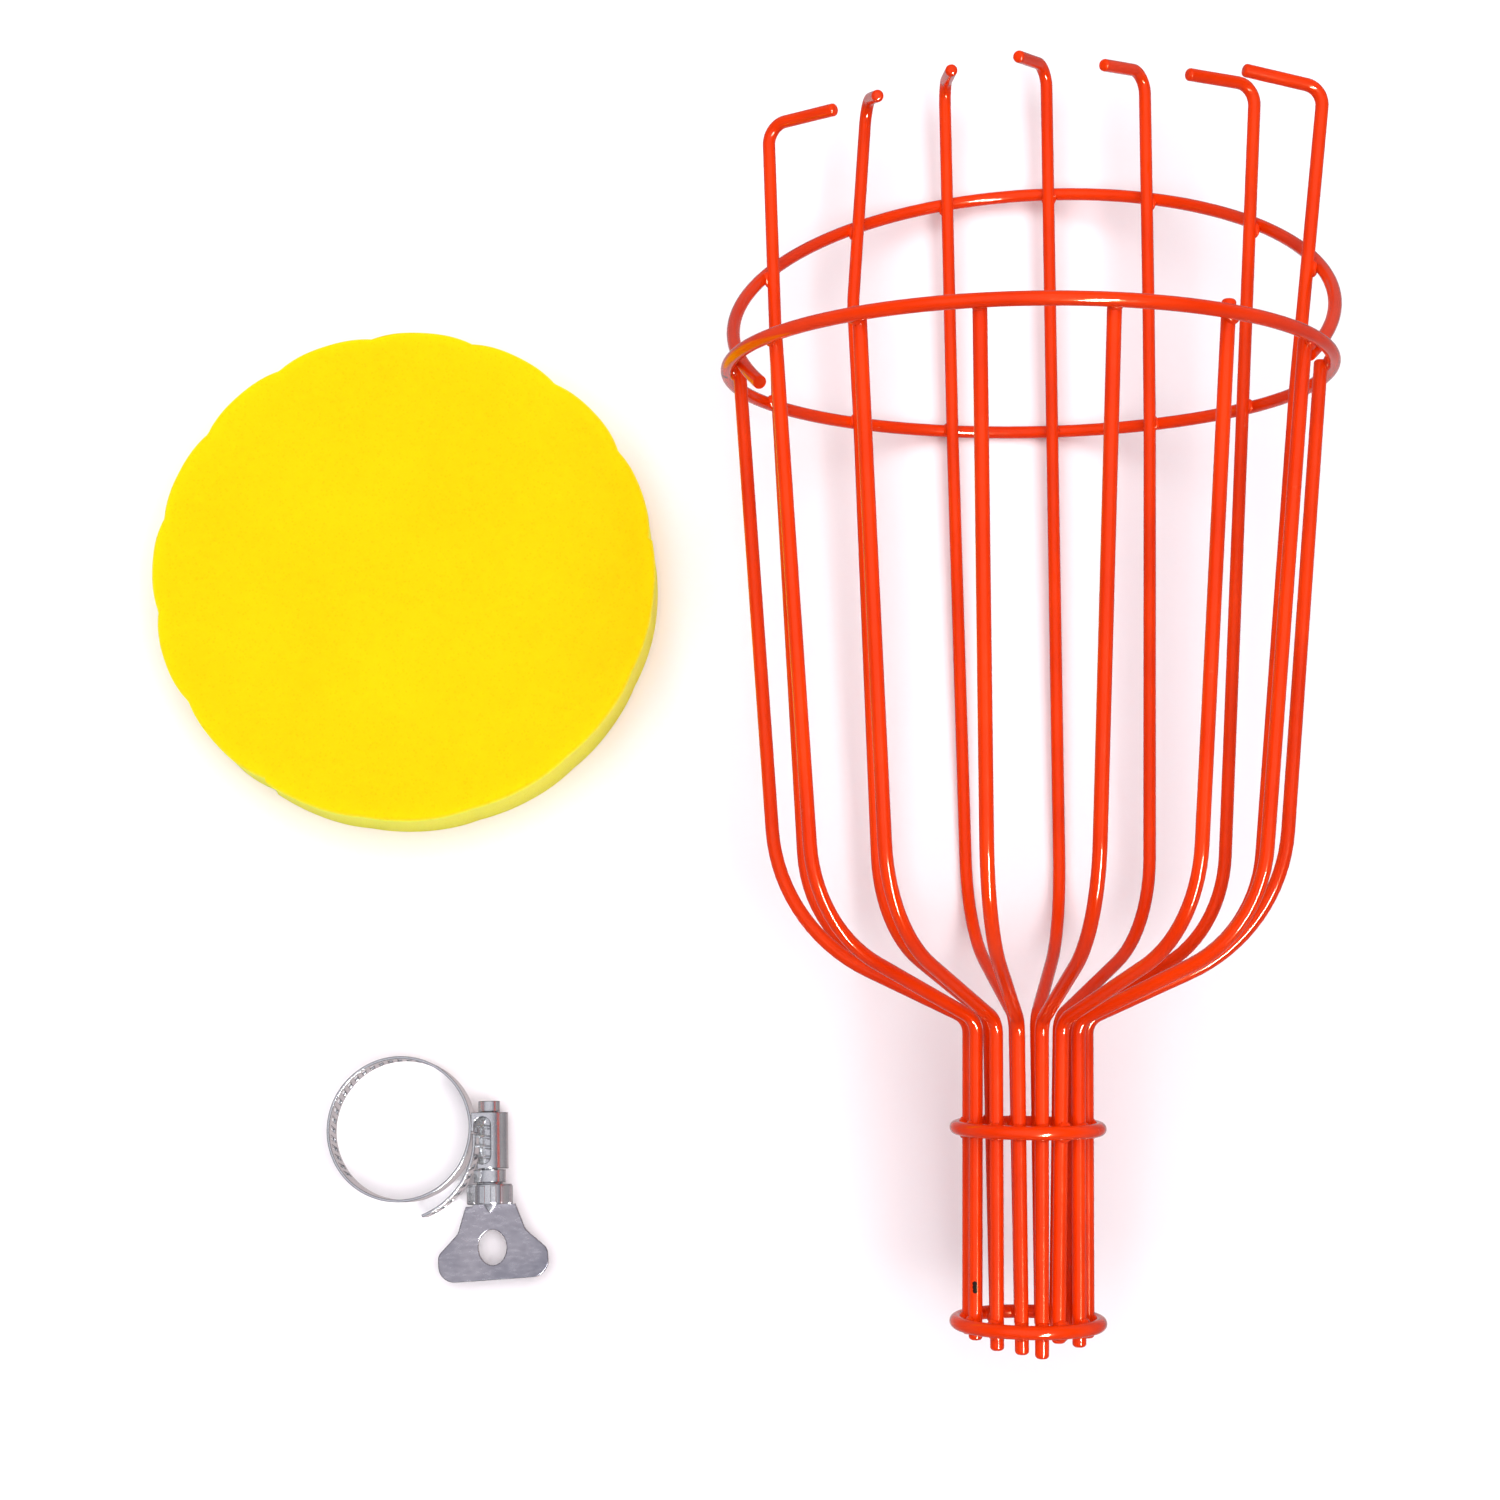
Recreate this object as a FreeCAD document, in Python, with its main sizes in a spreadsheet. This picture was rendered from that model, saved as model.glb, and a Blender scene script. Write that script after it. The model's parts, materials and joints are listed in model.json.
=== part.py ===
import FreeCAD, Part
import math
import os

# Fruit picker basket kit: a welded wire basket lying on its finger side, the round foam
# cushion that lines it and the worm-drive clamp that fixes it to a pole.
# Sizes in mm, +Z up, the table at z = 0, the open mouth of the basket toward +Y.

os.makedirs("parts", exist_ok=True)
doc = FreeCAD.newDocument("fruit_picker_basket")
sheet = doc.addObject("Spreadsheet::Sheet", "Sizes")
row_count = 0


def put(alias, value):
    """Write one driving size into the next row of the sheet."""
    global row_count
    row_count += 1
    cell = "B%d" % row_count
    sheet.set("A%d" % row_count, alias)
    sheet.set(cell, str(value))
    sheet.setAlias(cell, alias)


def size(alias):
    return float(sheet.get(alias))


# ---------------------------------------------------------------- sizes: basket
put("wire_dia", 3.3)
put("cage_radius", 14.1)          # wire centres around the pole socket
put("neck_height", 71.9)          # where the wires leave the socket
put("neck_bend", 5.0)
put("foot_height", 93.5)          # corner between the funnel and the wall
put("foot_radius", 60.0)
put("foot_bend", 33.0)
put("side_foot_bend", 41.0)
put("rim_height", 229.8)
put("rim_wire_radius", 70.5)
put("wall_slope", 0.0733)
put("rim_bend", 60.0)
put("weld_set_down", 0.3)         # how far a ring sinks into the wires it is welded to
put("finger_bend", 5.0)
put("hoop_pass_height", 262.0)     # where the finger wires cross the hoop
put("hoop_pass_bend", 40.0)
put("end_round", 0.9)
put("neck_ring_height", 46.0)
put("hoop_half_width", 74.0)
put("hoop_half_depth", 85.3)
put("hoop_tilt", 34.6)
put("hoop_side", 0.5)
put("hoop_drop", 7.8)
put("hoop_height", 249.0)
put("hoop_from", 243.0)
put("hoop_to", 123.0)
put("basket_x", 73.1)
put("basket_y", -166.2)
put("basket_yaw", -0.37)
put("basket_roll", -9.0)

# Finger wires: angle at the socket, neck, foot, rim, hoop and bend; height of the bend;
# angle, radius and height of the tip.
FINGERS = {
    "one": (70, 70, 70, 68.5, 67.3, 65.8, 305.0, 68.0, 54.0, 305.0),
    "two": (36, 44.5, 42.5, 42.2, 42.6, 37.2, 321.0, 45.4, 58.0, 315.0),
    "three": (10, 15.5, 18, 19.4, 19.5, 19.7, 328.5, 23.5, 56.5, 325.0),
    "four": (-10, -6, -5.5, -2.8, -2.3, -1.3, 334.0, 5.0, 58.0, 330.0),
    "five": (-25.5, -30.5, -29, -25, -24, -21.8, 329.0, -18.5, 56.5, 325.0),
    "six": (-42, -49, -52, -49.8, -49.4, -48.7, 316.5, -46.5, 55.0, 316.0),
    "seven": (-65, -68, -67, -69.5, -71.8, -74.8, 304.5, -77.5, 54.5, 307.5),
}
FINGER_COLUMNS = ("socket", "neck", "foot", "rim", "hoop", "bend", "bend_height",
                  "tip", "tip_radius", "tip_height")

# Short wires: angle at the socket, neck, foot and rim; heights of the lower and upper end.
SHORTS = {
    "one": (98.5, 98.5, 98.5, 98.5, -3.0, 234.5),
    "two": (121.5, 122.5, 129, 127.5, -3.5, 230.5),
    "three": (152, 151, 152, 151, -5.0, 230.5),
    "four": (177, 173.5, 174.5, 174.5, -5.5, 230.5),
    "five": (196, 196.5, 197.5, 198.5, -6.4, 230.5),
    "six": (213, 218, 221.5, 222, -3.0, 233.5),
    "seven": (241, 241, 245, 248, -4.5, 230.5),
    "eight": (273, 273, 268, 268, -3.5, 230.5),
}
SHORT_COLUMNS = ("socket", "neck", "foot", "rim", "low_end", "top_end")

put("finger_low_end", -3.0)
for word, values in FINGERS.items():
    for column, value in zip(FINGER_COLUMNS, values):
        put("finger_%s_%s" % (word, column), value)
for word, values in SHORTS.items():
    for column, value in zip(SHORT_COLUMNS, values):
        put("short_%s_%s" % (word, column), value)

# ---------------------------------------------------------------- sizes: foam cushion
put("foam_radius", 67.4)
put("foam_thickness", 20.0)
put("foam_notch", 1.1)
put("foam_x", -84.6)
put("foam_y", 26.1)

# ---------------------------------------------------------------- sizes: clamp
put("clamp_x", -83.6)
put("clamp_y", -119.4)
put("band_outer_radius", 18.6)
put("band_thickness", 0.7)
put("band_width", 12.0)
put("slot_pitch", 2.55)
put("slot_width", 1.1)
put("slot_length", 7.4)
put("slot_slant", 6.0)
put("band_slot_count", 21)
put("band_slot_start", 62.0)
put("screw_axis_radius", 22.6)
put("screw_slant", 1.5)
put("housing_top", 4.3)
put("housing_length", 14.3)
put("housing_arch_radius", 5.6)
put("housing_arch_centre", -0.7)
put("housing_wall", 0.8)
put("housing_foot", -4.15)
put("housing_end_wall", 0.9)
put("window_centre", -1.3)
put("window_width", 4.3)
put("window_length", 12.0)
put("tail_notch_height", -2.6)
put("tail_notch_top", -0.6)
put("journal_radius", 2.2)
put("journal_clearance", 0.06)
put("worm_radius", 2.75)
put("worm_end_gap", 0.3)
put("collar_gap", 0.3)
put("tip_collar_radius", 2.8)
put("tip_collar_end", 7.3)
put("collar_radius", 4.2)
put("collar_end", -13.5)
put("head_radius", 5.75)
put("head_start", -14.0)
put("head_end", -19.1)
put("head_waist_radius", 3.4)
put("key_thickness", 1.5)
put("key_slot_depth", 4.4)
put("key_skew", 2.5)
put("key_root", -15.0)
put("key_neck_half", 4.5)
put("key_shoulder_half", 6.4)
put("key_shoulder", -19.3)
put("key_waist_half", 8.7)
put("key_waist", -26.0)
put("key_lobe_half", 14.1)
put("key_lobe", -31.2)
put("key_end", -38.2)
put("key_waist_round", 2.5)
put("key_lobe_round", 3.0)
put("key_corner_round", 4.2)
put("key_hole_centre", -30.0)
put("key_hole_long", 4.5)
put("key_hole_short", 3.65)
put("tail_centre_x", -1.14)
put("tail_centre_y", -3.0)
put("tail_radius", 20.44)
put("tail_from", 5.0)
put("tail_to", -68.4)
put("tail_slot_count", 8)
put("tail_slot_start", 7.0)       # first slot, degrees in from the free end
put("cut_margin", 1.0)            # how far a cut runs past the piece it cuts
doc.recompute()
cut_margin = size("cut_margin")

# ---------------------------------------------------------------- shared frames
V = FreeCAD.Vector
X_AXIS = V(1, 0, 0)
Z_AXIS = V(0, 0, 1)
wire_radius = size("wire_dia") / 2.0
ring_offset = size("wire_dia") - size("weld_set_down")
rim_ring_radius = size("rim_wire_radius") + ring_offset


def turn(axis, degrees):
    return FreeCAD.Rotation(axis, degrees)


CLAMP = FreeCAD.Placement(V(size("clamp_x"), size("clamp_y"), 0), turn(Z_AXIS, 0))
screw_spot = V(size("screw_axis_radius"), 0, size("band_width") / 2.0)
SCREW = CLAMP * FreeCAD.Placement(screw_spot, turn(Z_AXIS, size("screw_slant")))


# ---------------------------------------------------------------- basket wires
def station(radius, degrees, height):
    """Point of the basket at an angle from the middle finger, seen from the socket end."""
    angle = math.radians(degrees)
    return V(-radius * math.sin(angle), radius * math.cos(angle), height)


def wall_radius(height):
    return size("rim_wire_radius") + size("wall_slope") * (height - size("rim_height"))


def bent_path(corners, bends):
    """Straight runs joined by tangent arcs of the given centre-line bend radii."""
    edges = []
    start = corners[0]
    for index in range(1, len(corners) - 1):
        corner = corners[index]
        back = (corners[index - 1] - corner).normalize()
        ahead = (corners[index + 1] - corner).normalize()
        turning = math.pi - back.getAngle(ahead)
        if turning < math.radians(0.3):
            continue
        reach = bends[index - 1] * math.tan(turning / 2.0)
        first = corner + back * reach
        last = corner + ahead * reach
        inward = (back + ahead).normalize()
        inset = bends[index - 1] * (1.0 / math.cos(turning / 2.0) - 1.0)
        edges.append(Part.LineSegment(start, first).toShape())
        edges.append(Part.Arc(first, corner + inward * inset, last).toShape())
        start = last
    edges.append(Part.LineSegment(start, corners[-1]).toShape())
    return Part.Wire(edges)


def finger_path(word):
    def at(column):
        return size("finger_%s_%s" % (word, column))

    bend_height = at("bend_height")
    corners = [
        station(size("cage_radius"), at("socket"), size("finger_low_end")),
        station(size("cage_radius"), at("neck"), size("neck_height")),
        station(size("foot_radius"), at("foot"), size("foot_height")),
        station(size("rim_wire_radius"), at("rim"), size("rim_height")),
        station(wall_radius(size("hoop_pass_height")), at("hoop"), size("hoop_pass_height")),
        station(wall_radius(bend_height), at("bend"), bend_height),
        station(at("tip_radius"), at("tip"), at("tip_height")),
    ]
    bends = [size("neck_bend"), size("foot_bend"), size("rim_bend"),
             size("hoop_pass_bend"), size("finger_bend")]
    return bent_path(corners, bends)


def short_path(word):
    def at(column):
        return size("short_%s_%s" % (word, column))

    top = at("top_end")
    corners = [
        station(size("cage_radius"), at("socket"), at("low_end")),
        station(size("cage_radius"), at("neck"), size("neck_height")),
        station(size("foot_radius"), at("foot"), size("foot_height")),
        station(wall_radius(top), at("rim"), top),
    ]
    foot_bend = size("foot_bend")
    if word in ("one", "eight"):
        foot_bend = size("side_foot_bend")
    return bent_path(corners, [size("neck_bend"), foot_bend])


finger_paths = [finger_path(word) for word in FINGERS]
short_paths = [short_path(word) for word in SHORTS]

# ---------------------------------------------------------------- how the basket lies
# It rests on the foot bends of its lowest finger wires and on its rim ring; the pitch is
# found by halving the range until both touch the table together.
roll = math.radians(size("basket_roll"))
foot_points = []
for path in finger_paths:
    for point in path.discretize(600):
        if point.z < size("rim_height") / 2.0:
            foot_points.append((point.x * math.sin(roll) + point.y * math.cos(roll), point.z))


def foot_depth(angle):
    return max(depth * math.cos(angle) - height * math.sin(angle) for depth, height in foot_points)


def rim_depth(angle):
    return rim_ring_radius * math.cos(angle) - size("rim_height") * math.sin(angle)


low_pitch = 0.0
high_pitch = math.radians(20.0)
for _ in range(50):
    middle_pitch = (low_pitch + high_pitch) / 2.0
    if rim_depth(middle_pitch) > foot_depth(middle_pitch):
        low_pitch = middle_pitch
    else:
        high_pitch = middle_pitch
pitch = math.degrees(low_pitch)
axis_height = rim_depth(low_pitch) + wire_radius
basket_turn = turn(Z_AXIS, size("basket_yaw")) * turn(X_AXIS, pitch - 90.0)
basket_turn = basket_turn * turn(Z_AXIS, size("basket_roll"))
BASKET = FreeCAD.Placement(V(size("basket_x"), size("basket_y"), axis_height), basket_turn)
print("basket pitch %.3f deg, socket axis %.3f mm above the table" % (pitch, axis_height))
nodes = []


def round_wire(label, path):
    """Round wire swept along its path, ends softened, placed with the basket."""
    start = path.Edges[0].valueAt(path.Edges[0].FirstParameter)
    heading = path.Edges[0].tangentAt(path.Edges[0].FirstParameter)
    finish = path.Edges[-1].valueAt(path.Edges[-1].LastParameter)
    circle = Part.Wire(Part.makeCircle(wire_radius, start, heading))
    solid = path.makePipeShell([circle], True, False)
    expected = math.pi * wire_radius ** 2 * path.Length
    if abs(solid.Volume - expected) > 0.01 * expected:
        raise ValueError("%s: volume %.1f, expected %.1f" % (label, solid.Volume, expected))
    rims = []
    for edge in solid.Edges:
        at_start = edge.CenterOfMass.distanceToPoint(start) < 0.01
        at_finish = edge.CenterOfMass.distanceToPoint(finish) < 0.01
        if at_start or at_finish:
            rims.append(edge)
    solid = solid.makeFillet(size("end_round"), rims)
    feature = doc.addObject("Part::Feature", label)
    feature.Label = label
    feature.Shape = solid
    feature.Placement = BASKET
    nodes.append(feature)


for number, path in enumerate(finger_paths, 1):
    round_wire("finger_wire_%d" % number, path)
for number, path in enumerate(short_paths, 1):
    round_wire("short_wire_%d" % number, path)


# ---------------------------------------------------------------- basket rings and hoop
def ring(label, radius_rule, height):
    torus = doc.addObject("Part::Torus", label)
    torus.Label = label
    torus.setExpression("Radius1", radius_rule)
    torus.setExpression("Radius2", "Sizes.wire_dia / 2")
    torus.Placement = BASKET * FreeCAD.Placement(V(0, 0, height), turn(Z_AXIS, 0))
    nodes.append(torus)
    return torus


outside = " + Sizes.wire_dia - Sizes.weld_set_down"
ring("rim_ring", "Sizes.rim_wire_radius" + outside, size("rim_height"))
ring("neck_ring", "Sizes.cage_radius" + outside, size("neck_ring_height"))
ring("socket_ring", "Sizes.cage_radius" + outside, 0)

hoop_path = doc.addObject("Part::Ellipse", "hoop_path")
hoop_path.setExpression("MajorRadius", "Sizes.hoop_half_depth")
hoop_path.setExpression("MinorRadius", "Sizes.hoop_half_width")
hoop_path.setExpression("Angle1", "Sizes.hoop_from")
hoop_path.setExpression("Angle2", "Sizes.hoop_to")
doc.recompute()
hoop_edge = hoop_path.Shape.Edges[0]
hoop_section = doc.addObject("Part::Circle", "hoop_section")
hoop_section.setExpression("Radius", "Sizes.wire_dia / 2")
hoop_start = hoop_edge.valueAt(hoop_edge.FirstParameter)
hoop_heading = hoop_edge.tangentAt(hoop_edge.FirstParameter)
hoop_section.Placement = FreeCAD.Placement(hoop_start, FreeCAD.Rotation(Z_AXIS, hoop_heading))
finger_hoop = doc.addObject("Part::Sweep", "finger_hoop")
finger_hoop.Label = "finger_hoop"
finger_hoop.Sections = [hoop_section]
finger_hoop.Spine = (hoop_path, ["Edge1"])
finger_hoop.Solid = True
finger_hoop.Frenet = False
hoop_centre = V(size("hoop_side"), size("hoop_drop"), size("hoop_height"))
hoop_turn = turn(X_AXIS, size("hoop_tilt")) * turn(Z_AXIS, 90)
finger_hoop.Placement = BASKET * FreeCAD.Placement(hoop_centre, hoop_turn)
nodes.append(finger_hoop)


# ---------------------------------------------------------------- design bodies
def body_named(label, placement):
    body = doc.addObject("PartDesign::Body", label)
    body.Label = label
    body.Placement = placement
    nodes.append(body)
    return body


def origin_item(body, role):
    for item in body.Origin.OriginFeatures:
        if item.Role == role:
            return item
    raise ValueError("no origin feature " + role)


def sketch_on(body, name, plane, offset=None):
    sketch = body.newObject("Sketcher::SketchObject", name)
    sketch.AttachmentSupport = [(origin_item(body, plane), "")]
    sketch.MapMode = "FlatFace"
    if offset is not None:
        sketch.AttachmentOffset = offset
    return sketch


def lines_through(sketch, points):
    """Closed outline of straight lines."""
    last = len(points)
    for index in range(last):
        head = V(points[index][0], points[index][1], 0)
        tail = V(points[(index + 1) % last][0], points[(index + 1) % last][1], 0)
        sketch.addGeometry(Part.LineSegment(head, tail), False)


def pad_of(body, name, sketch, length_rule, both_ways=False):
    pad = body.newObject("PartDesign::Pad", name)
    pad.Profile = sketch
    pad.setExpression("Length", length_rule)
    pad.Midplane = both_ways
    return pad


def pocket_of(body, name, sketch, length_rule, reverse=False, both_ways=False):
    pocket = body.newObject("PartDesign::Pocket", name)
    pocket.Profile = sketch
    pocket.setExpression("Length", length_rule)
    pocket.Reversed = reverse
    pocket.Midplane = both_ways
    return pocket


def polar(x, y, radius, degrees):
    angle = math.radians(degrees)
    return V(x + radius * math.cos(angle), y + radius * math.sin(angle), 0)


def arc_edge(sketch, x, y, radius, from_degrees, to_degrees):
    circle = Part.Circle(V(x, y, 0), Z_AXIS, radius)
    first = math.radians(from_degrees)
    last = math.radians(to_degrees)
    sketch.addGeometry(Part.ArcOfCircle(circle, first, last), False)


# ---------------------------------------------------------------- foam cushion
# Cut out by hand: flat facets meet in shallow notches along the far and left edge.
NOTCHES = (8, 30.5, 53, 75, 99, 122, 144.5, 167, 189.5, 212)

foam_spot = V(size("foam_x"), size("foam_y"), 0)
foam = body_named("foam_pad", FreeCAD.Placement(foam_spot, turn(Z_AXIS, 0)))
foam_outline = sketch_on(foam, "foam_outline", "XY_Plane")
notch_radius = size("foam_radius") - size("foam_notch")
for index in range(len(NOTCHES)):
    head_angle = NOTCHES[index]
    tail_angle = NOTCHES[(index + 1) % len(NOTCHES)]
    if tail_angle < head_angle:
        tail_angle += 360
    head_point = polar(0, 0, notch_radius, head_angle)
    tail_point = polar(0, 0, notch_radius, tail_angle)
    middle = polar(0, 0, size("foam_radius"), (head_angle + tail_angle) / 2.0)
    foam_outline.addGeometry(Part.Arc(head_point, middle, tail_point), False)
foam_block = pad_of(foam, "foam_block", foam_outline, "Sizes.foam_thickness")
doc.recompute()

# ---------------------------------------------------------------- clamp band
slot_step = math.degrees(size("slot_pitch") / size("band_outer_radius"))
band_turn = turn(Z_AXIS, size("band_slot_start") - 90.0)
band = body_named("clamp_band", CLAMP * FreeCAD.Placement(V(0, 0, 0), band_turn))
band_outline = sketch_on(band, "band_outline", "XY_Plane")
band_inner_radius = size("band_outer_radius") - size("band_thickness")
for radius in (size("band_outer_radius"), band_inner_radius):
    band_outline.addGeometry(Part.Circle(V(0, 0, 0), Z_AXIS, radius), False)
pad_of(band, "band_strip", band_outline, "Sizes.band_width")


def slot_outline(sketch, centre_x, centre_y):
    """Worm slot: a narrow parallelogram leaning by the lead of the thread."""
    half_width = size("slot_width") / 2.0
    half_length = size("slot_length") / 2.0
    lean = half_length * math.tan(math.radians(size("slot_slant")))
    points = [
        (centre_x - half_width - lean, centre_y - half_length),
        (centre_x + half_width - lean, centre_y - half_length),
        (centre_x + half_width + lean, centre_y + half_length),
        (centre_x - half_width + lean, centre_y + half_length),
    ]
    lines_through(sketch, points)


def slot_row(body, prefix, sketch, count_rule, step, depth_rule, reverse_cut, reverse_row):
    cut = pocket_of(body, prefix + "_slot", sketch, depth_rule, reverse=reverse_cut)
    row = body.newObject("PartDesign::PolarPattern", prefix + "_slots")
    row.Originals = [cut]
    row.Axis = (origin_item(body, "Z_Axis"), [""])
    row.Reversed = reverse_row
    body.Tip = row
    row.setExpression("Occurrences", count_rule)
    row.Angle = step * (size(prefix + "_slot_count") - 1)
    return row


band_slot_sketch = sketch_on(band, "band_slot_outline", "XZ_Plane")
slot_outline(band_slot_sketch, 0, size("band_width") / 2.0)
slot_row(band, "band", band_slot_sketch, "Sizes.band_slot_count", slot_step,
         "Sizes.band_outer_radius + 2 * Sizes.cut_margin", False, False)
doc.recompute()

# ---------------------------------------------------------------- clamp housing
housing = body_named("clamp_housing", SCREW)
arch_x = size("housing_arch_centre")
arch_radius = size("housing_arch_radius")
foot_x = size("housing_foot")


def arch_outline(sketch, radius, foot):
    """Arch over the screw: round roof on two straight legs; sketch x points away from the band."""
    lines_through_open = [
        (V(arch_x, -radius, 0), V(foot, -radius, 0)),
        (V(foot, -radius, 0), V(foot, radius, 0)),
        (V(foot, radius, 0), V(arch_x, radius, 0)),
    ]
    for head, tail in lines_through_open:
        sketch.addGeometry(Part.LineSegment(head, tail), False)
    arc_edge(sketch, arch_x, 0, radius, -90, 90)


def across(level):
    """Offset that moves a sketch of the XZ plane to the given height along the screw axis."""
    return FreeCAD.Placement(V(0, 0, -level), turn(Z_AXIS, 0))


housing_bottom = size("housing_top") - size("housing_length")
arch = sketch_on(housing, "arch_outline", "XZ_Plane", across(size("housing_top")))
arch_outline(arch, arch_radius, foot_x)
pad_of(housing, "arch_block", arch, "Sizes.housing_length")
cavity = sketch_on(housing, "cavity_outline", "XZ_Plane",
                   across(housing_bottom + size("housing_end_wall")))
arch_outline(cavity, arch_radius - size("housing_wall"), foot_x - cut_margin)
pocket_of(housing, "cavity", cavity, "Sizes.housing_length - 2 * Sizes.housing_end_wall")
end_gap = sketch_on(housing, "end_gap_outline", "XZ_Plane", across(0))
leg_inside = arch_radius - size("housing_wall")
lines_through(end_gap, [(foot_x - cut_margin, -leg_inside), (size("tail_notch_height"), -leg_inside),
                        (size("tail_notch_height"), leg_inside), (foot_x - cut_margin, leg_inside)])
pocket_of(housing, "end_gap", end_gap, "4 * Sizes.housing_length", both_ways=True)
notch = sketch_on(housing, "tail_notch_outline", "XY_Plane")
lines_through(notch, [(foot_x - cut_margin, size("tail_notch_top")),
                      (foot_x - cut_margin, housing_bottom - cut_margin),
                      (size("tail_notch_height"), housing_bottom - cut_margin),
                      (size("tail_notch_height"), size("tail_notch_top"))])
pocket_of(housing, "tail_notch", notch, "4 * Sizes.housing_arch_radius", both_ways=True)
window = sketch_on(housing, "window_outline", "XY_Plane")
window_half = size("window_width") / 2.0
window_middle = size("housing_top") - size("housing_length") / 2.0
window_reach = size("window_length") / 2.0 - window_half
window_x = size("window_centre")
left_x = window_x - window_half
right_x = window_x + window_half
upper_y = window_middle + window_reach
lower_y = window_middle - window_reach
window.addGeometry(Part.LineSegment(V(left_x, upper_y, 0), V(left_x, lower_y, 0)), False)
window.addGeometry(Part.LineSegment(V(right_x, lower_y, 0), V(right_x, upper_y, 0)), False)
arc_edge(window, window_x, upper_y, window_half, 0, 180)
arc_edge(window, window_x, lower_y, window_half, 180, 360)
pocket_of(housing, "windows", window, "4 * Sizes.housing_arch_radius", both_ways=True)
journal = sketch_on(housing, "journal_outline", "XZ_Plane", across(0))
bore_radius = size("journal_radius") + size("journal_clearance")
journal.addGeometry(Part.Circle(V(0, 0, 0), Z_AXIS, bore_radius), False)
pocket_of(housing, "journal_bores", journal, "4 * Sizes.housing_length", both_ways=True)
doc.recompute()

# ---------------------------------------------------------------- clamp screw
screw = body_named("clamp_screw", SCREW)
worm_top = size("housing_top") - size("housing_end_wall") - size("worm_end_gap")
worm_bottom = housing_bottom + size("housing_end_wall") + size("worm_end_gap")
tip_start = size("housing_top") + size("collar_gap")
collar_start = housing_bottom - size("collar_gap")
profile = sketch_on(screw, "screw_profile", "XY_Plane")
lines_through(profile, [
    (0, size("tip_collar_end")),
    (size("tip_collar_radius"), size("tip_collar_end")),
    (size("tip_collar_radius"), tip_start),
    (size("journal_radius"), tip_start),
    (size("journal_radius"), worm_top),
    (size("worm_radius"), worm_top),
    (size("worm_radius"), worm_bottom),
    (size("journal_radius"), worm_bottom),
    (size("journal_radius"), collar_start),
    (size("collar_radius"), collar_start),
    (size("collar_radius"), size("collar_end")),
    (size("head_waist_radius"), size("collar_end")),
    (size("head_waist_radius"), size("head_start")),
    (size("head_radius"), size("head_start")),
    (size("head_radius"), size("head_end")),
    (0, size("head_end")),
])
turned = screw.newObject("PartDesign::Revolution", "screw_turned")
turned.Profile = profile
turned.ReferenceAxis = (profile, ["V_Axis"])
turned.Angle = 360
key_slot = sketch_on(screw, "key_slot_outline", "XY_Plane")
slot_half = size("head_radius") + cut_margin
slot_floor = size("head_end") + size("key_slot_depth")
lines_through(key_slot, [(-slot_half, slot_floor), (-slot_half, size("head_end") - cut_margin),
                         (slot_half, size("head_end") - cut_margin), (slot_half, slot_floor)])
pocket_of(screw, "key_slot", key_slot, "Sizes.key_thickness", both_ways=True)
doc.recompute()

# ---------------------------------------------------------------- clamp key
key_turn = turn(Z_AXIS, size("key_skew"))
root = V(0, size("key_root"), 0)
key_frame = FreeCAD.Placement(root, key_turn)
key_back = FreeCAD.Placement(V(0, -size("key_root"), 0), turn(Z_AXIS, 0))
key = body_named("clamp_key", SCREW * key_frame * key_back)
key_sketch = sketch_on(key, "key_outline", "XY_Plane")
lines_through(key_sketch, [
    (-size("key_neck_half"), size("key_root")),
    (-size("key_neck_half"), size("key_shoulder")),
    (-size("key_shoulder_half"), size("key_shoulder")),
    (-size("key_waist_half"), size("key_waist")),
    (-size("key_lobe_half"), size("key_lobe")),
    (-size("key_lobe_half"), size("key_end")),
    (size("key_lobe_half"), size("key_end")),
    (size("key_lobe_half"), size("key_lobe")),
    (size("key_waist_half"), size("key_waist")),
    (size("key_shoulder_half"), size("key_shoulder")),
    (size("key_neck_half"), size("key_shoulder")),
    (size("key_neck_half"), size("key_root")),
])
key_plate = pad_of(key, "key_plate", key_sketch, "Sizes.key_thickness", both_ways=True)
doc.recompute()


def upright_edges(shape, side, level):
    """Names of the edges that stand on both outline corners at the given place."""
    names = []
    for index, edge in enumerate(shape.Edges, 1):
        head = edge.Vertexes[0].Point
        tail = edge.Vertexes[-1].Point
        upright = abs(head.x - tail.x) < 0.001 and abs(head.y - tail.y) < 0.001
        if upright and abs(abs(head.x) - side) < 0.01 and abs(head.y - level) < 0.01:
            names.append("Edge%d" % index)
    return names


rounded = key_plate
for name, side_rule, level_rule in (
        ("key_waist", "key_waist_half", "key_waist"),
        ("key_lobe", "key_lobe_half", "key_lobe"),
        ("key_corner", "key_lobe_half", "key_end")):
    edges = upright_edges(rounded.Shape, size(side_rule), size(level_rule))
    base = rounded
    rounded = key.newObject("PartDesign::Fillet", name + "_fillet")
    rounded.Base = (base, edges)
    rounded.setExpression("Radius", "Sizes.%s_round" % name)
    doc.recompute()
hole_sketch = sketch_on(key, "key_hole_outline", "XY_Plane")
hole_centre = V(0, size("key_hole_centre"), 0)
hole_top = V(0, size("key_hole_centre") + size("key_hole_long"), 0)
hole_side = V(size("key_hole_short"), size("key_hole_centre"), 0)
hole_sketch.addGeometry(Part.Ellipse(hole_top, hole_side, hole_centre), False)
pocket_of(key, "key_hole", hole_sketch, "4 * Sizes.key_thickness", both_ways=True)
doc.recompute()

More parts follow.
